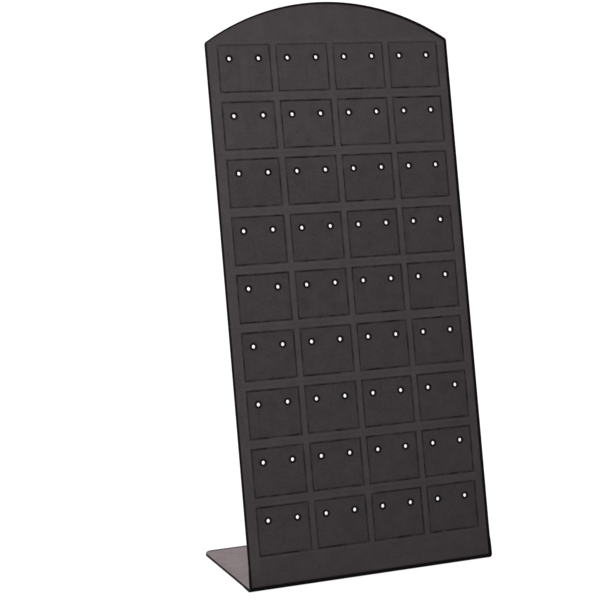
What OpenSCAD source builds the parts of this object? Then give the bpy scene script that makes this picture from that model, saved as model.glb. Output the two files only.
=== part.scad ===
// Earring display stand: one black plastic sheet, pierced and pocketed while flat,
// then folded once. The tall panel leans back over a short foot.
// Lengths are in millimetres, angles in degrees. +Z is up and the panel faces -Y.

/* [Sheet] */
// Thickness of the sheet
sheet_t = 2; // [1.5:0.1:4]
// Bare border at each side of the pockets
side_margin = 8.1; // [4:0.1:20]
// Bare strip between the fold and the lowest pockets
foot_margin = 18.6; // [12:0.2:40]
// Bare strip between the highest pockets and the shoulders of the arch
head_margin = 1.9; // [1:0.1:20]
// Rise of the arched top above its two shoulders
arch_rise = 25.3; // [8:0.1:60]
// Radius that rounds each shoulder of the arch
shoulder_r = 2.5; // [1:0.1:5]

/* [Pockets] */
// Pockets across the panel
columns = 4; // [2:1:6]
// Pockets up the panel
rows = 9; // [3:1:12]
// Distance between the centres of neighbouring columns
column_pitch = 40; // [38:0.5:60]
// Distance between the centres of neighbouring rows
row_pitch = 36.5; // [32:0.5:60]
// Width of a pocket
pocket_w = 35.2; // [26:0.1:36]
// Height of a pocket
pocket_h = 29.8; // [18:0.1:30]
// Depth of a pocket below the front face
pocket_depth = 0.5; // [0.2:0.1:1]
// Radius of the pocket's corners
pocket_r = 0.6; // [0.3:0.1:3]

/* [Holes] */
// Diameter of a hole for an earring's post or hook
hole_d = 2.4; // [1:0.1:4]
// Distance between the two holes of a pair
hole_spacing = 20; // [8:0.5:20]
// Distance from the pocket's upper edge down to the holes
hole_drop = 8.6; // [5:0.1:12]

/* [Fold] */
// Angle by which the panel leans back from upright
lean = 12.3; // [5:0.1:20]
// Radius on the inside of the fold
fold_r = 1.2; // [0.6:0.1:6]
// How far each end of the fold swells out past the sheet's side
fold_swell = 0.5; // [0.2:0.1:1]
// Length over which that swelling dies away along the panel and the foot
swell_run = 12; // [6:1:16]

/* [Foot] */
// Depth of the foot, from the front of the fold to its back edge
foot_depth = 84.8; // [60:0.2:140]
// Radius of the foot's two back corners
foot_corner_r = 6; // [1:0.5:20]

/* [Hidden] */
$fn = 96;
arc_fn = 720;
hole_fn = 32;
corner_fn = 48;
overcut = 1;
overlap = 5;
sheet_color = [0.15, 0.14, 0.14];

// Sizes of the flat blank
sheet_w = (columns - 1) * column_pitch + pocket_w + 2 * side_margin;
half_w = sheet_w / 2;
grid_h = (rows - 1) * row_pitch + pocket_h;
shoulder_y = foot_margin + grid_h + head_margin;
panel_l = shoulder_y + arch_rise;
arch_r = (half_w * half_w + arch_rise * arch_rise) / (2 * arch_rise);
arch_y = panel_l - arch_r;
swell_r = (swell_run * swell_run + fold_swell * fold_swell) / (2 * fold_swell);

// Places on the fold, seen from the side
fold_outer_r = fold_r + sheet_t;
fold_angle = 90 + lean;
foot_l = foot_depth - fold_outer_r;
top_back = fold_outer_r * (1 - cos(lean)) + panel_l * sin(lean) + sheet_t * cos(lean);
middle = max(foot_depth, top_back) / 2;

// Rectangle with round corners, centred
module round_rectangle(w, h, r) {
    union() {
        square([w, h - 2 * r], center = true);
        square([w - 2 * r, h], center = true);
        for (x = [-1, 1], y = [-1, 1])
            translate([x * (w / 2 - r), y * (h / 2 - r)])
                circle(r, $fn = corner_fn);
    }
}

// The sliver by which both sides of a blank swell towards the fold, which lies at y = 0
module swollen_sides() {
    for (side = [0, 1])
        mirror([side, 0])
            intersection() {
                translate([half_w + fold_swell - swell_r, 0])
                    circle(swell_r, $fn = arc_fn);
                translate([half_w - overlap, 0])
                    square([2 * overlap, swell_run]);
            }
}

// What the right shoulder loses when its corner is rounded to shoulder_r
module shoulder_trim() {
    x = half_w - shoulder_r;
    reach = arch_r - shoulder_r;
    y = arch_y + sqrt(reach * reach - x * x);
    touch = [x * arch_r / reach, arch_y + (y - arch_y) * arch_r / reach];
    difference() {
        polygon([
            [x, y],
            [half_w, y],
            [half_w + overlap, y],
            [half_w + overlap, touch[1] + overlap],
            touch + [x, y - arch_y] * overlap / reach,
            touch
        ]);
        translate([x, y])
            circle(shoulder_r, $fn = corner_fn);
    }
}

// Outline of the panel while flat: straight sides, an arched top and round shoulders
module panel_outline() {
    union() {
        difference() {
            union() {
                translate([-half_w, 0])
                    square([sheet_w, shoulder_y]);
                intersection() {
                    translate([-half_w, shoulder_y - overlap])
                        square([sheet_w, arch_rise + 2 * overlap]);
                    translate([0, arch_y])
                        circle(arch_r, $fn = arc_fn);
                }
            }
            for (side = [0, 1])
                mirror([side, 0])
                    shoulder_trim();
        }
        swollen_sides();
    }
}

// Outline of the foot while flat: straight sides and round back corners
module foot_outline() {
    union() {
        translate([-half_w, 0])
            square([sheet_w, foot_l - foot_corner_r]);
        translate([-half_w + foot_corner_r, 0])
            square([sheet_w - 2 * foot_corner_r, foot_l]);
        for (x = [-1, 1])
            translate([x * (half_w - foot_corner_r), foot_l - foot_corner_r])
                circle(foot_corner_r, $fn = corner_fn);
        swollen_sides();
    }
}

// One pocket with its two holes, measured from the middle of the pocket's upper edge
module pocket() {
    translate([0, -pocket_h / 2, -pocket_depth])
        linear_extrude(pocket_depth + overcut)
            round_rectangle(pocket_w, pocket_h, pocket_r);
    for (x = [-1, 1])
        translate([x * hole_spacing / 2, -hole_drop, -sheet_t - overcut])
            cylinder(h = sheet_t + 2 * overcut, d = hole_d, $fn = hole_fn);
}

// The panel while flat, front face up at z = 0 and the fold at y = 0
module panel_blank() {
    difference() {
        translate([0, 0, -sheet_t])
            linear_extrude(sheet_t)
                panel_outline();
        for (row = [0 : rows - 1], column = [0 : columns - 1])
            translate([
                (column - (columns - 1) / 2) * column_pitch,
                foot_margin + pocket_h + row * row_pitch,
                0
            ])
                pocket();
    }
}

// The fold itself, round the X axis, from the foot's underside up to the panel's front
module fold() {
    rotate([90, 0, 90])
        rotate([0, 0, 180 - lean])
            rotate_extrude(angle = fold_angle)
                translate([fold_r, -half_w - fold_swell])
                    square([sheet_t, sheet_w + 2 * fold_swell]);
}

// The whole folded sheet, standing on its foot, centred on the space that it takes up
module stand() {
    color(sheet_color)
        translate([0, fold_outer_r - middle, fold_outer_r])
            union() {
                rotate([90 - lean, 0, 0])
                    translate([0, 0, fold_outer_r])
                        panel_blank();
                fold();
                translate([0, 0, -fold_outer_r])
                    linear_extrude(sheet_t)
                        foot_outline();
            }
}

stand();
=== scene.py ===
# %% [markdown]
# # Jewelry display stand
# The real stand is one sheet of satin black plastic. It is pocketed and pierced while it lies flat,
# then heated along one line and folded, so that a short foot carries a tall leaning panel.
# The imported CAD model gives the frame: everything here is in metres, in the CAD model's own axes.
# This lesson makes the same sheet again as one fine mesh, gives it its finish, and lights it.

# %% Load the frame
from math import asin, cos, degrees, pi, radians, sin, sqrt, tan

import bmesh
import bpy
from mathutils import Matrix, Vector


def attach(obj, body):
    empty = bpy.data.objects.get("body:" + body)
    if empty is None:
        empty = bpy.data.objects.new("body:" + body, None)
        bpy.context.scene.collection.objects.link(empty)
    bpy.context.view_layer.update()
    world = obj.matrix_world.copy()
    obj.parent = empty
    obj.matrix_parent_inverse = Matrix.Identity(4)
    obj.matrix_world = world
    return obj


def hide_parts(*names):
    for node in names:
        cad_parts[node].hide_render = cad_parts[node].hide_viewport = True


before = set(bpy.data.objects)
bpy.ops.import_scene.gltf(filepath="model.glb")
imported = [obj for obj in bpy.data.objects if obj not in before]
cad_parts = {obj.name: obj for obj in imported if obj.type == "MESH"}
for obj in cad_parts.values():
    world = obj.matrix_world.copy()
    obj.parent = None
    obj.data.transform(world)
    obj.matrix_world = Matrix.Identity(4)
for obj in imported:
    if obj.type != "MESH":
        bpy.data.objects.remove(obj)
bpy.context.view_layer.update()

# %% [markdown]
# ## Sizes
# The sizes repeat the named values of the CAD model. The blank is described flat: u runs across it,
# s runs up it from the line where the fold starts, and w points out of its front face. The two
# smallest lengths, hair and near, are the play that is allowed when a point is found by its place.

# %% Sizes of the blank, the fold and the foot
mm = 0.001
hair, near = 0.01 * mm, 0.1 * mm
sheet_t = 2 * mm
columns, rows = 4, 9
column_pitch, row_pitch = 40 * mm, 36.5 * mm
pocket_w, pocket_h = 35.2 * mm, 29.8 * mm
pocket_depth, pocket_r = 0.5 * mm, 0.6 * mm
side_margin, foot_margin, head_margin = 8.1 * mm, 18.6 * mm, 1.9 * mm
arch_rise, shoulder_r = 25.3 * mm, 2.5 * mm
hole_r, hole_spacing, hole_drop = 1.2 * mm, 20 * mm, 8.6 * mm
lean = radians(12.3)
fold_r, fold_swell, swell_run = 1.2 * mm, 0.5 * mm, 12 * mm
foot_depth, foot_corner_r = 84.8 * mm, 6 * mm

sheet_w = (columns - 1) * column_pitch + pocket_w + 2 * side_margin
half_w = sheet_w / 2
shoulder_s = foot_margin + (rows - 1) * row_pitch + pocket_h + head_margin
panel_l = shoulder_s + arch_rise
arch_r = (half_w ** 2 + arch_rise ** 2) / (2 * arch_rise)
arch_s = panel_l - arch_r
swell_r = (swell_run ** 2 + fold_swell ** 2) / (2 * fold_swell)
fold_outer_r = fold_r + sheet_t
fold_angle = pi / 2 + lean
foot_l = foot_depth - fold_outer_r
middle = foot_depth / 2
print("Blank:", round(sheet_w / mm, 1), "x", round(panel_l / mm, 1), "mm")
print("Radius of the arch:", round(arch_r / mm, 1), "mm")

# %% [markdown]
# ## Camera
# A camera was solved on the 72 holes and on the outline of the stand, with a level horizon.
# It stands to the left of the panel's front, a little above it, and has a long lens.

# %% Camera at the photograph's viewing angle
camera_yaw, camera_pitch = radians(23.587), radians(9.6314)
camera_data = bpy.data.cameras.new("photo_camera")
camera_data.sensor_width = 36
camera_data.lens = 106.93
camera_data.shift_y = -0.03856
camera = bpy.data.objects.new("photo_camera", camera_data)
camera.location = (-0.48252, -1.02742, 0.38042)
camera.rotation_euler = (pi / 2 - camera_pitch, 0, -camera_yaw)
bpy.context.scene.collection.objects.link(camera)
bpy.context.scene.camera = camera
print("Camera turned", round(degrees(camera_yaw), 1), "degrees, lens", camera_data.lens, "mm")

# %% [markdown]
# ## The flat blank
# A real blank is sawn or milled from a bigger sheet, and the mesh starts the same way: one square
# face takes the size of the blank, and straight cuts mark out every pocket. A boolean could punch the
# pockets later, but the cuts leave clean four-sided faces, which take small round edges well.
# Each hole gets a small square of its own, and closer cuts near the fold follow its swelling ends.

# %% One face, cut along the borders of the pockets
column_places = [(k - (columns - 1) / 2) * column_pitch for k in range(columns)]
pocket_tops = [foot_margin + pocket_h + k * row_pitch for k in range(rows)]
hole_square, middle_strip = 3.5 * mm, 1.75 * mm
hole_u = hole_spacing / 2
column_cuts = [pocket_w / 2, hole_u + hole_square, hole_u, hole_u - hole_square, middle_strip]
row_cuts = [0, hole_square - hole_drop, -hole_drop, -hole_drop - hole_square, -pocket_h]
fine_step = 1.5 * mm
fine_steps = round(swell_run / fine_step)


def cut_across(mesh, direction, places):
    """Cuts every face of the mesh along straight lines at these places."""
    for place in places:
        parts = mesh.verts[:] + mesh.edges[:] + mesh.faces[:]
        bmesh.ops.bisect_plane(mesh, geom=parts, plane_co=direction * place, plane_no=direction)


sheet = bmesh.new()
bmesh.ops.create_grid(sheet, x_segments=1, y_segments=1, size=0.5)
bmesh.ops.scale(sheet, vec=(sheet_w, shoulder_s, 1), verts=sheet.verts[:])
bmesh.ops.translate(sheet, vec=(0, shoulder_s / 2, 0), verts=sheet.verts[:])
for side in (-1, 1):
    for cut in column_cuts:
        cut_across(sheet, Vector((1, 0, 0)), [c + side * cut for c in column_places])
for cut in row_cuts:
    cut_across(sheet, Vector((0, 1, 0)), [top + cut for top in pocket_tops])
cut_across(sheet, Vector((0, 1, 0)), [k * fine_step for k in range(1, fine_steps + 1)])
print("Flat blank:", len(sheet.faces), "faces")

# %% [markdown]
# ## The arched top
# The top edge is a shallow arc. Only the highest row of points has to move, each to its own height
# on the circle, because everything below it stays straight.

# %% Lift the top edge onto its arc
for point in sheet.verts:
    if point.co.y > shoulder_s - hair:
        point.co.y = arch_s + sqrt(arch_r ** 2 - point.co.x ** 2)
print("Top of the arch at", round(max(point.co.y for point in sheet.verts) / mm, 2), "mm")

# %% [markdown]
# ## Thickness
# Extruding the whole skin downwards gives the back face and the cut edges in one step. The two
# shoulders are then rounded on the solid, as a router would do it, by a bevel on their upright edges.

# %% Give the blank its thickness and round its shoulders
shoulder_segments = 6


def points_of(parts):
    """The points among the parts that an operator made."""
    return [part for part in parts if isinstance(part, bmesh.types.BMVert)]


def each_once(parts):
    """The parts in the order they come, each once; a set would list them differently each run."""
    return list(dict.fromkeys(parts))


def round_edges(mesh, edges, offset, segments):
    """Rounds these edges of the mesh, and leaves everything else as it is."""
    bmesh.ops.bevel(
        mesh,
        geom=edges,
        offset=offset,
        offset_type="OFFSET",
        segments=segments,
        profile=0.5,
        affect="EDGES",
        clamp_overlap=False,
        material=-1,
    )


def at_shoulder(point):
    """Whether a point of the flat blank is the corner between its side and its arched top."""
    return abs(point.co.x) > half_w - hair and point.co.y > shoulder_s - hair


back = bmesh.ops.extrude_face_region(sheet, geom=sheet.faces[:], use_keep_orig=True)["geom"]
bmesh.ops.translate(sheet, vec=(0, 0, -sheet_t), verts=points_of(back))
bmesh.ops.recalc_face_normals(sheet, faces=sheet.faces[:])

shoulder_angle = pi / 2 + asin(half_w / arch_r)
shoulder_edges = [edge for edge in sheet.edges if all(at_shoulder(p) for p in edge.verts)]
round_edges(sheet, shoulder_edges, shoulder_r / tan(shoulder_angle / 2), shoulder_segments)
print("Shoulders rounded:", len(shoulder_edges), "at", round(degrees(shoulder_angle), 1), "degrees")

# %% [markdown]
# ## Pockets
# Each pocket is a shallow, flat recess that keeps the cards of the earrings in line. Insetting a
# region and lowering it at once leaves a nearly upright wall, with a hair of draft as a cutter leaves.
# A face counts as one of the front where its normal points forwards by more than the value facing.

# %% Press the pockets into the front face
wall_draft = 0.05 * mm
facing = 0.9


def in_pocket(place):
    """Whether a place on the flat blank lies inside the border of a pocket."""
    beside = min(abs(place.x - c) for c in column_places) < pocket_w / 2
    level = min(abs(place.y - top + pocket_h / 2) for top in pocket_tops) < pocket_h / 2
    return beside and level


front_faces = [f for f in sheet.faces if f.normal.z > facing]
pocket_faces = [f for f in front_faces if in_pocket(f.calc_center_median())]
bmesh.ops.inset_region(
    sheet,
    faces=pocket_faces,
    thickness=wall_draft,
    depth=-pocket_depth,
    use_boundary=True,
    use_even_offset=True,
)
floor_z = min(p.co.z for f in pocket_faces for p in f.verts)
print("Pocket floors:", len(pocket_faces), "faces at", round(floor_z / mm, 3), "mm")

# %% [markdown]
# ## Pocket corners
# A milling cutter is round, so the four upright corners of each pocket are round as well. They are
# found by where they stand, and four segments are enough for a radius of 0.6 mm.

# %% Round the upright corners of the pockets
corner_segments = 4
most_of_wall, under_pockets = 0.8 * pocket_depth, -0.75 * sheet_t


def at_pocket_corner(edge):
    """Whether an edge runs down the wall of a pocket at one of its four corners."""
    low, high = sorted(p.co.z for p in edge.verts)
    spot = edge.verts[0].co
    down_the_wall = high - low > most_of_wall and high > -near and low > under_pockets
    at_side = any(abs(abs(spot.x - c) - pocket_w / 2) < near for c in column_places)
    at_end = any(abs(abs(spot.y - top + pocket_h / 2) - pocket_h / 2) < near for top in pocket_tops)
    return down_the_wall and at_side and at_end


pocket_corners = [edge for edge in sheet.edges if at_pocket_corner(edge)]
round_edges(sheet, pocket_corners, pocket_r, corner_segments)
print("Pocket corners rounded:", len(pocket_corners))

# %% [markdown]
# ## Where the holes go
# A pair of holes near the top of each pocket takes the two posts of a pair of earrings. Each hole
# replaces a small square of faces on the front and one on the back, so these are taken out first.

# %% Take out a square on both skins for each hole
within_square = 0.9 * hole_square
hole_places = [
    Vector((c + side * hole_u, top - hole_drop, 0))
    for top in pocket_tops
    for c in column_places
    for side in (-1, 1)
]


def near_hole(place, reach):
    """Whether a place lies within this reach of a hole's centre, both across and up the blank."""
    return any(abs(place.x - h.x) < reach and abs(place.y - h.y) < reach for h in hole_places)


flat_faces = [f for f in sheet.faces if abs(f.normal.z) > facing]
squares = [f for f in flat_faces if near_hole(f.calc_center_median(), within_square)]
bmesh.ops.delete(sheet, geom=squares, context="FACES")
open_edges = [edge for edge in sheet.edges if edge.is_boundary]
print("Holes:", len(hole_places), "and open edges round their squares:", len(open_edges))

# %% [markdown]
# ## Rims and walls of the holes
# On each skin a circle is bridged to the square that is left open, and one more bridge makes the wall
# of the hole. Bridging needs to see which way its tube runs, so each circle is made a little off its
# face, and is set level with it afterwards.

# %% Bridge the squares to circles, and the circles to each other
hole_segments = 24
ring_lift, round_square = 0.5 * mm, 1.1 * hole_square


def ring_of(mesh, centre, height):
    """Adds a hole's circle of edges at this height of the blank, and returns its points and edges."""
    spot = Matrix.Translation((centre.x, centre.y, height))
    points = bmesh.ops.create_circle(mesh, radius=hole_r, segments=hole_segments, matrix=spot)["verts"]
    return points, each_once(edge for point in points for edge in point.link_edges)


def open_square(edges, centre, height):
    """The open edges round one hole's square at this height."""
    found = []
    for edge in edges:
        mid = (edge.verts[0].co + edge.verts[1].co) / 2
        reach = max(abs(mid.x - centre.x), abs(mid.y - centre.y))
        if reach < round_square and abs(mid.z - height) < near:
            found.append(edge)
    return found


for hole in hole_places:
    front_points, front_ring = ring_of(sheet, hole, -pocket_depth + ring_lift)
    back_points, back_ring = ring_of(sheet, hole, -sheet_t - ring_lift)
    bmesh.ops.bridge_loops(sheet, edges=open_square(open_edges, hole, -pocket_depth) + front_ring)
    bmesh.ops.bridge_loops(sheet, edges=open_square(open_edges, hole, -sheet_t) + back_ring)
    bmesh.ops.bridge_loops(sheet, edges=front_ring + back_ring)
    bmesh.ops.translate(sheet, vec=(0, 0, -ring_lift), verts=front_points)
    bmesh.ops.translate(sheet, vec=(0, 0, ring_lift), verts=back_points)
bmesh.ops.recalc_face_normals(sheet, faces=sheet.faces[:])
print("Holes pierced, and open edges left:", sum(not edge.is_manifold for edge in sheet.edges))

# %% [markdown]
# ## The fold
# The maker heats a line across the sheet and bends it over a rod. Spinning the sheet's lower end
# round the rod's axis draws that bend with a true inside and outside radius.

# %% Bend the lower end of the sheet
fold_steps = 14
rod = Vector((0, 0, -fold_outer_r))
end_faces = [f for f in sheet.faces if f.calc_center_median().y < hair]
end_edges = each_once(edge for face in end_faces for edge in face.edges)
end_points = each_once(point for face in end_faces for point in face.verts)
bend = bmesh.ops.spin(
    sheet,
    geom=end_faces + end_edges + end_points,
    cent=rod,
    axis=(1, 0, 0),
    dvec=(0, 0, 0),
    angle=fold_angle,
    steps=fold_steps,
    use_duplicate=False,
)
print("Fold:", fold_steps, "steps through", round(degrees(fold_angle), 1), "degrees")

# %% [markdown]
# ## The foot
# The foot is extruded on from where the bend ends. Its first steps are short, for the swell beside the
# fold, and the last one is long enough to round the back corners.

# %% Draw out the foot and round its back corners
foot_corner_segments = 10
long_step, last_step = 24 * mm, 8 * mm
rest = foot_l - swell_run - 2 * long_step - last_step
foot_lengths = [fine_step] * fine_steps + [long_step, long_step, rest, last_step]
foot_way = Vector((0, -cos(fold_angle), -sin(fold_angle)))
foot_end = rod + foot_way * foot_l


def at_foot_corner(point):
    """Whether a point is one of the two sharp back corners of the foot."""
    return abs(point.co.x) > half_w - hair and (point.co - foot_end).dot(foot_way) > -hair


end = bend["geom_last"]
for length in foot_lengths:
    end = bmesh.ops.extrude_face_region(sheet, geom=end)["geom"]
    bmesh.ops.translate(sheet, vec=foot_way * length, verts=points_of(end))
foot_corners = [edge for edge in sheet.edges if all(at_foot_corner(p) for p in edge.verts)]
round_edges(sheet, foot_corners, foot_corner_r, foot_corner_segments)
print("Foot:", round(sum(foot_lengths) / mm, 2), "mm long, corners rounded:", len(foot_corners))

# %% [markdown]
# ## The swell at the fold's ends
# Soft plastic that is pressed on the inside of a bend has to go somewhere, and at the two ends of
# the fold it creeps out sideways. The points of the two sides follow a long flat arc there.

# %% Push the sides out next to the fold
swollen = 0
for point in sheet.verts:
    if abs(point.co.x) > half_w - hair:
        away = max(0, point.co.y, foot_way.dot(point.co - rod))
        if away < swell_run:
            reach = half_w + fold_swell - swell_r + sqrt(swell_r ** 2 - away ** 2)
            point.co.x = reach if point.co.x > 0 else -reach
            swollen += 1
print("Points in the swell:", swollen)

# %% [markdown]
# ## Rounded edges
# No edge of a real sheet is perfectly sharp. The cut outline is flamed or scraped, so it is the
# roundest, the holes are eased a little, and the pockets have the smallest rounding. A bevel weight
# on each sharp edge says how round it gets, and one Bevel modifier does them all.

# %% Weigh the sharp edges
outline_round, round_segments = 0.4 * mm, 3
sharp_angle = radians(40)
weight_of = {"outline": 1, "hole": 0.25, "pocket": 0.2}


def kind_of(edge):
    """Which of the three kinds of edge this is: the cut outline, a hole or a pocket."""
    mid = (edge.verts[0].co + edge.verts[1].co) / 2
    if mid.z > -sheet_t - near and near_hole(mid, hole_r + near):
        return "hole"
    among_pockets = abs(mid.x) < half_w - side_margin + near and mid.y > foot_margin - near
    if among_pockets and mid.z > under_pockets and mid.y < shoulder_s - near:
        return "pocket"
    return "outline"


weights = sheet.edges.layers.float.new("bevel_weight_edge")
counts = dict.fromkeys(weight_of, 0)
for edge in sheet.edges:
    if edge.calc_face_angle(0) > sharp_angle:
        kind = kind_of(edge)
        edge[weights] = weight_of[kind]
        counts[kind] += 1
print("Sharp edges:", counts)

# %% [markdown]
# ## Stand the sheet up
# The blank was drawn flat, and the foot hangs below it at the fold's angle. One matrix puts the
# foot flat on the ground and the panel at its lean, where the CAD model has them. The Bevel then
# rounds the weighed edges, and weighted normals keep the large faces looking flat beside them.

# %% Turn the sheet into place and finish its mesh
panel_matrix = (
    Matrix.Translation((0, fold_outer_r - middle, fold_outer_r))
    @ Matrix.Rotation(pi / 2 - lean, 4, "X")
    @ Matrix.Translation((0, 0, fold_outer_r))
)
bmesh.ops.transform(sheet, matrix=panel_matrix, verts=sheet.verts[:])
for face in sheet.faces:
    face.smooth = True
sheet_mesh = bpy.data.meshes.new("folded_sheet")
sheet.to_mesh(sheet_mesh)
sheet.free()
folded_sheet = bpy.data.objects.new("folded_sheet", sheet_mesh)
bpy.context.scene.collection.objects.link(folded_sheet)

rounding = folded_sheet.modifiers.new("edge_rounding", "BEVEL")
rounding.limit_method = "WEIGHT"
rounding.width = outline_round
rounding.segments = round_segments
rounding.profile = 0.5
rounding.use_clamp_overlap = False
even_shading = folded_sheet.modifiers.new("even_shading", "WEIGHTED_NORMAL")
even_shading.mode = "FACE_AREA"
even_shading.keep_sharp = False
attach(folded_sheet, "root")
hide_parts("stand")
print("Folded sheet:", len(sheet_mesh.vertices), "points,", len(sheet_mesh.polygons), "faces")

# %% [markdown]
# ## A way to write shader maths
# A material is a net of nodes, which is hard to read as a list of links. This class wraps a socket,
# so that a sum such as 1 - mask adds the right Math node, and one method adds any other node.

# %% A socket that takes part in sums


class Signal:
    """A value, colour or direction on its way through a material."""

    def __init__(self, tree, socket=None):
        self.tree = tree
        self.socket = socket

    def node(self, kind, settings=None, inputs=None, output=None):
        """Adds a node of this kind: its settings first, then the values or links of its sockets."""
        made = self.tree.nodes.new(kind)
        for name, value in (settings or {}).items():
            setattr(made, name, value)
        for name, value in (inputs or {}).items():
            named = [s for s in made.inputs if s.name == name and s.enabled]
            target = made.inputs[name] if isinstance(name, int) else named[0]
            if isinstance(value, Signal):
                self.tree.links.new(value.socket, target)
            else:
                target.default_value = value
        live = [s for s in made.outputs if s.enabled]
        return Signal(self.tree, made.outputs[output] if output else next(iter(live), None))

    def math(self, operation, *values):
        """Adds a Math node on this signal and the given values."""
        return self.node("ShaderNodeMath", {"operation": operation}, dict(enumerate((self, *values))))

    def __add__(self, other):
        return self.math("ADD", other)

    def __sub__(self, other):
        return self.math("SUBTRACT", other)

    def __rsub__(self, other):
        return self.node("ShaderNodeMath", {"operation": "SUBTRACT"}, {0: other, 1: self})

    def __mul__(self, other):
        return self.math("MULTIPLY", other)

    def __abs__(self):
        return self.math("ABSOLUTE")

    __radd__ = __add__
    __rmul__ = __mul__

    def least(self, other):
        """The lower of the two."""
        return self.math("MINIMUM", other)

    def most(self, other):
        """The higher of the two."""
        return self.math("MAXIMUM", other)

    def wrapped(self, reach):
        """The signal repeated between -reach and reach."""
        return self.math("WRAP", reach, -reach)

    def rise(self, low, high):
        """0 below low, 1 above high and a soft step between them; it falls where low is the higher."""
        ends = {"Value": self, "From Min": min(low, high), "From Max": max(low, high)}
        ends.update({"To Min": float(low > high), "To Max": float(low < high)})
        return self.node("ShaderNodeMapRange", {"interpolation_type": "SMOOTHSTEP"}, ends)

    def split(self):
        """The three parts of a direction or a place."""
        parts = self.node("ShaderNodeSeparateXYZ", inputs={"Vector": self})
        return [Signal(self.tree, s) for s in parts.socket.node.outputs]


def distance(across, up):
    """The length of the way with these two parts."""
    return (across * across + up * up).math("SQRT")


print("Signal ready")

# %% [markdown]
# ## The satin black finish
# The sheet is black all through. What the eye reads is its satin skin: fine grain, a faint waviness
# from rolling, rub marks, and tone that changes a little from place to place. In the photograph the
# pocket floors are a shade darker than the bars. The thin dark line along each pocket's border, the
# black band along the cut outline, the black ring round each hole and the black underside of the fold
# are painted shade and painted dark reflection, and the bars beside the lines carry a painted
# highlight.
# All of it hangs on places: the pattern is worked out on the flat blank, in millimetres, by a
# Mapping node that turns the object's own coordinates back onto the blank.

# %% Two sets of coordinates, on the standing sheet and on the flat blank
satin = bpy.data.materials.new("satin_black_sheet")
satin.use_nodes = True
satin.node_tree.nodes.clear()
start = Signal(satin.node_tree)
per_mm = (1000, 1000, 1000)
flatten = panel_matrix.inverted()
turn, shift = flatten.to_euler(), flatten.translation / mm
place = start.node("ShaderNodeTexCoord", output="Object")
standing = start.node("ShaderNodeMapping", inputs={"Vector": place, "Scale": per_mm})
flat_way = {"Vector": place, "Scale": per_mm, "Rotation": turn, "Location": shift}
flat = start.node("ShaderNodeMapping", inputs=flat_way)
x, y, z = standing.split()
u, s, w = flat.split()
print("Coordinates in millimetres, standing and flat")

# %% [markdown]
# ## Where the pockets and holes are
# The pockets repeat, so two wrapped coordinates are enough for all of them: how far a place is from
# the middle of its column, and from the middle of its row. The smaller of the two ways to the
# pocket's border is the depth inside it, and it is negative on the bars. The eight columns of holes
# are evenly spaced, so they wrap once more. The ring of painted shade round a hole lies a little off
# its centre.

# %% Ways to the nearest pocket border and to the nearest hole
half_column, half_row, half_hole_gap = column_pitch / mm / 2, row_pitch / mm / 2, hole_u / mm
last_pocket = column_places[-1] / mm
first_row = (foot_margin + pocket_h / 2) / mm
edge_u = last_pocket + half_column
edge_low = first_row - half_row
edge_high = edge_low + 2 * rows * half_row
across = (u.most(-edge_u).least(edge_u) - last_pocket).wrapped(half_column)
up = (s.most(edge_low).least(edge_high) - first_row).wrapped(half_row)
inside = (pocket_w / mm / 2 - abs(across)).least(pocket_h / mm / 2 - abs(up))
hole_up = (pocket_h / 2 - hole_drop) / mm
ring_shift, ring_squash = 0.2, 1.05
hole_across = (across - half_hole_gap).wrapped(half_hole_gap) + ring_shift
from_hole = distance(hole_across, (up - hole_up) * ring_squash)
front = w.rise(-1.3, -0.9)
print("Pocket pattern laid out")

# %% [markdown]
# ## Where the cut edges are
# The painted dark reflection along the cut edge needs the way in from the outline. On the panel that
# is the nearer of its side and its arch, and on the foot it is the way in from a rectangle with round
# corners. The fold's underside, which gets painted shade, is the part of the bend that faces the
# ground.

# %% Ways in from the outline
from_side = half_w / mm - abs(x)
from_arch = arch_r / mm - distance(u, (s - arch_s / mm).most(0))
foot_across = (abs(x) - (half_w - foot_corner_r) / mm).most(0)
foot_back = (y - (middle - foot_corner_r) / mm).most(0)
from_foot_side = foot_corner_r / mm - distance(foot_across, foot_back)
from_foot_back = middle / mm - y
on_panel = z.rise(2.2, 3.2)
rod_y, rod_z = (fold_outer_r - middle) / mm, fold_outer_r / mm
from_rod = distance(y - rod_y, z - rod_z)
print("Outline pattern laid out")

# %% [markdown]
# ## Unevenness
# No real skin is even, and noise at the right scale is what makes plastic look like plastic. Each
# noise here has its own scale, from the slow drift in tone over the whole sheet down to the grain.
# The rub marks are noise on stretched coordinates, so that they run in streaks along the sheet.

# %% Noise at the scales of the real skin


def noise(place, per_millimetre, detail, roughness=0.5):
    """Smooth noise with about this many bumps in a millimetre, and finer ones on top of them."""
    look = {"Vector": place, "Scale": per_millimetre, "Detail": detail, "Roughness": roughness}
    return start.node("ShaderNodeTexNoise", inputs=look)


drift = noise(flat, 0.012, 3.0)
wave = noise(flat, 0.03, 1.0)
# This noise makes the painted shade along the pocket borders patchy.
shade_patchiness = noise(flat, 0.09, 3.0, 0.65)
cloud = noise(flat, 0.11, 4.0, 0.6)
pebble = noise(flat, 0.6, 2.0)
grain = noise(flat, 2.2, 3.0)
rub_stretch, rub_slant = (0.5, 0.02, 0.5), (0, 0, 0.3)
rub_way = {"Vector": flat, "Scale": rub_stretch, "Rotation": rub_slant}
rub = noise(start.node("ShaderNodeMapping", inputs=rub_way), 1.0, 5.0)
print("Seven kinds of noise laid out")
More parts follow.
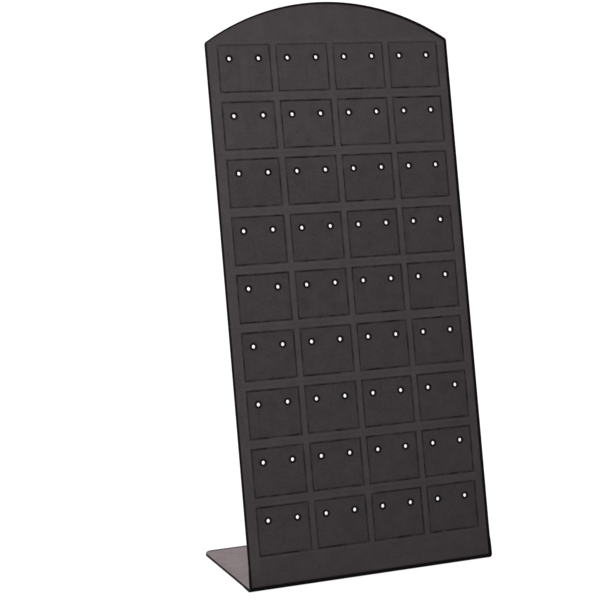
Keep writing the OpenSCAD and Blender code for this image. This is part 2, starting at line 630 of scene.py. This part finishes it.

# %% [markdown]
# ## What is nearly black
# These masks say where the sheet is painted close to pure black, as painted shade and painted dark
# reflection: a band along the cut edges, which is a little wider on the panel's right, the underside
# of the fold, a ring round each hole, and a thin line along each pocket's border. The line of painted
# shade is patchy in places, weaker on the pocket's right, and faint above the highest row. The pocket
# floors, less so in the top rows, and the duller patches of the skin take only a touch of the same
# black, as a duller finish of their own. Each rise says, in millimetres, where the black starts
# and where it is full, and the darkest mask wins.

# %% Masks for the black edges, rings and lines
widening, foot_black, ring_black = 0.008, 0.85, 0.94
# Painted dark reflection and shade: a black band along the cut edges of the panel and the foot.
panel_edge = (from_side.least(from_arch) - u * widening).rise(2.0, 1.3) * on_panel
foot_back_edge = from_foot_back.rise(3.5, 2.0) * foot_black
foot_edge = from_foot_side.rise(0.3, 0.0).most(foot_back_edge) * (1 - on_panel)
# Painted shade on the underside of the fold, where it faces the ground.
fold_under = from_rod.rise(2.2, 2.6) * z.rise(4.6, 2.6) * y.rise(rod_y + 1, rod_y)
# Painted shade in a ring round each hole, a little off its centre.
ring = from_hole.rise(3.05, 2.35) * inside.rise(0, 0.5) * front * ring_black

# Painted shade in a thin line along each pocket's border, made patchy by a noise.
line_least, patchiness_share = 0.4, 0.46
highest_line = pocket_tops[-1] / mm
faint = s.rise(highest_line - 2.4, highest_line - 0.9) * 0.6
weaker = across.rise(15, 16.5) * 0.2
line = inside.rise(-1.1, -0.3) * inside.rise(0.95, 0.15) * front * (1 - weaker)
patchy_line_shade = line * (line_least + shade_patchiness.rise(0.33, 0.67) * patchiness_share) * (1 - faint)

pocket_dull, cloud_dull, pebble_dull = 0.06, 0.15, 0.12
top_rows = s.rise(240, 290) * 0.7
pocket = inside.rise(0, 0.1) * front * (1 - top_rows)
patches = cloud.rise(0.3, 0.7) * cloud_dull + pebble.rise(0.3, 0.7) * pebble_dull
dull = pocket * pocket_dull + patches
# The painted shade and the duller finish meet in one mask.
painted_shade_and_dullness = panel_edge
for mask in (foot_edge, fold_under, ring, patchy_line_shade, dull):
    painted_shade_and_dullness = painted_shade_and_dullness.most(mask)
print("Black edges, rings and lines masked")

# %% [markdown]
# ## Tone, roughness and relief
# Noises are mixed like pigments. The colour takes the slow drift and the clouding, the roughness
# takes the rub marks and the grain, and the relief takes what a fingertip could feel. The bars get a
# painted highlight next to the painted lines, and the pocket floors are slightly darker and duller.
# A noise lies round one half, so half is taken off where it has to swing both ways.

# %% Mix the noises into tone, roughness and relief
drift_tone, cloud_tone, painted_highlight_tone, pocket_tone = 0.25, 0.35, 0.3, 0.05
even_matt, rub_matt, grain_matt, pocket_matt = 0.42, 0.12, 0.05, 0.05
wave_rise, cloud_rise, pebble_rise, grain_rise = 1.5, 0.4, 0.15, 0.06
# Painted highlight on the bars beside the painted lines.
painted_highlight_by_line = inside.rise(-2.9, -1.9) * inside.rise(-1.0, -1.6) * front
swing = (drift - 0.5) * drift_tone + (cloud - 0.5) * cloud_tone
tone = 1 + swing + painted_highlight_by_line * painted_highlight_tone - pocket * pocket_tone
matt = even_matt + (rub - 0.5) * rub_matt + (grain - 0.5) * grain_matt + pocket * pocket_matt
relief = wave * wave_rise + cloud * cloud_rise + pebble * pebble_rise + grain * grain_rise
print("Tone, roughness and relief mixed")

# %% [markdown]
# ## The two skins
# The painted shade, along the edges, round the holes, along the pocket borders and under the fold,
# reflects less than the satin faces, so it is a second, nearly black shader and not only a darker
# colour. The duller patches and pocket floors take a little of it too. The masks mix the two.

# %% Build the satin finish
black_tint = (0.0137, 0.0116, 0.0122)
base = start.node("ShaderNodeVectorMath", {"operation": "SCALE"}, {"Vector": black_tint, "Scale": tone})
bump = start.node("ShaderNodeBump", inputs={"Height": relief, "Strength": 0.35, "Distance": mm})
satin_look = {"Base Color": base, "Roughness": matt, "Normal": bump, "IOR": 1.49}
satin_skin = start.node("ShaderNodeBsdfPrincipled", inputs=satin_look)
# The nearly black skin of painted shade, and a touch of the duller finish.
shade_and_dull_look = {"Base Color": (0.002, 0.0018, 0.0018, 1), "Roughness": 0.6, "Specular IOR Level": 0.05}
shade_and_dull_skin = start.node("ShaderNodeBsdfPrincipled", inputs=shade_and_dull_look)
finish = start.node("ShaderNodeMixShader", inputs={0: painted_shade_and_dullness, 1: satin_skin, 2: shade_and_dull_skin})
start.node("ShaderNodeOutputMaterial", inputs={"Surface": finish})
folded_sheet.data.materials.append(satin)
print("Satin finish:", len(satin.node_tree.nodes), "nodes")

# %% [markdown]
# ## Floor
# The stand is photographed on plain white, which shows no shadow. The floor is one very large face
# that gives off most of its white by itself, so it stays white up to the foot. It is left out of
# reflections, which keeps the lower part of the panel as dark as in the photograph.

# %% White floor
floor_half, floor_gap = 60, 0.05 * mm
floor_mesh = bpy.data.meshes.new("floor")
floor_shape = bmesh.new()
bmesh.ops.create_grid(floor_shape, x_segments=1, y_segments=1, size=floor_half)
bmesh.ops.translate(floor_shape, vec=(0, 0, -floor_gap), verts=floor_shape.verts[:])
floor_shape.to_mesh(floor_mesh)
floor_shape.free()
floor = bpy.data.objects.new("floor", floor_mesh)
bpy.context.scene.collection.objects.link(floor)
floor.visible_glossy = False
white = bpy.data.materials.new("white_floor")
white.use_nodes = True
white_skin = white.node_tree.nodes["Principled BSDF"]
white_skin.inputs["Base Color"].default_value = (0.1, 0.1, 0.1, 1)
white_skin.inputs["Emission Color"].default_value = (1, 1, 1, 1)
white_skin.inputs["Emission Strength"].default_value = 0.95
white_skin.inputs["Roughness"].default_value = 1
white_skin.inputs["Specular IOR Level"].default_value = 0
floor_mesh.materials.append(white)
print("Floor", round(floor.dimensions.x), "m wide")

# %% [markdown]
# ## Light
# Satin black shows what stands round it. A wide softbox in front gives the panel its even grey,
# which fades downwards and to the right because the softbox ends there, a little sooner at its top.
# Behind the stand it is bright and faintly warm, and the foot reflects that. The world is a picture
# of this studio by direction: the three parts of a direction say how far it points to the right, to
# the back and upwards. From straight below comes what a white table throws back, which the sheet
# shows to someone who looks down on it. The camera itself sees plain white.

# %% Studio round the stand
world = bpy.data.worlds.new("studio")
bpy.context.scene.world = world
world.use_nodes = True
world.node_tree.nodes.clear()
sky = Signal(world.node_tree)
way = sky.node("ShaderNodeTexCoord", output="Generated")
way_x, way_y, way_z = way.split()
room_glow, softbox_glow, low_glow, high_glow, table_glow = 0.02, 5.7, 0.8, 1.25, 0.35
backwards = way_y.rise(-0.3, 0.4)
softbox_height = way_z.rise(0.13, 0.27) * (0.15 + way_z.rise(0.51, 0.25) * 0.85)
softbox_end = 1 - (way_x + way_z * 0.1).rise(0.425, 0.605) * 0.95
softbox = softbox_height * way_y.rise(0.1, -0.4) * softbox_glow
in_front = (room_glow + softbox) * softbox_end
behind = backwards * (low_glow + way_z.rise(-0.25, -0.05) * high_glow)
tints = {"Factor": backwards, "A": (1, 0.9, 0.92, 1), "B": (1, 0.84, 0.87, 1)}
tint = sky.node("ShaderNodeMix", {"data_type": "RGBA"}, tints)
below = way_z.rise(-0.45, -0.8) * table_glow
glow = {"Color": tint, "Strength": in_front.most(behind).most(below)}
studio_light = sky.node("ShaderNodeBackground", inputs=glow)
plain_white = sky.node("ShaderNodeBackground", inputs={"Color": (1, 1, 1, 1), "Strength": 1.1})
seen = sky.node("ShaderNodeLightPath", output="Is Camera Ray")
studio = sky.node("ShaderNodeMixShader", inputs={0: seen, 1: studio_light, 2: plain_white})
sky.node("ShaderNodeOutputWorld", inputs={"Surface": studio})
print("Studio:", len(world.node_tree.nodes), "nodes")

# %% [markdown]
# ## Lamp
# A sun lamp shines the same everywhere. One with a very wide angle stands for a large soft lamp
# overhead, and fills in on the foot and the floor. The Standard view shows white as plain white.

# %% Soft lamp overhead
lamp_data = bpy.data.lights.new("overhead_lamp", "SUN")
lamp_data.energy = 1
lamp_data.angle = radians(60)
lamp = bpy.data.objects.new("overhead_lamp", lamp_data)
lamp_way = Vector((0.35, 0.1, -1))
lamp.rotation_euler = lamp_way.to_track_quat("-Z", "Y").to_euler()
bpy.context.scene.collection.objects.link(lamp)
bpy.context.scene.view_settings.view_transform = "Standard"
print("Soft light from overhead,", round(degrees(lamp_data.angle)), "degrees wide")
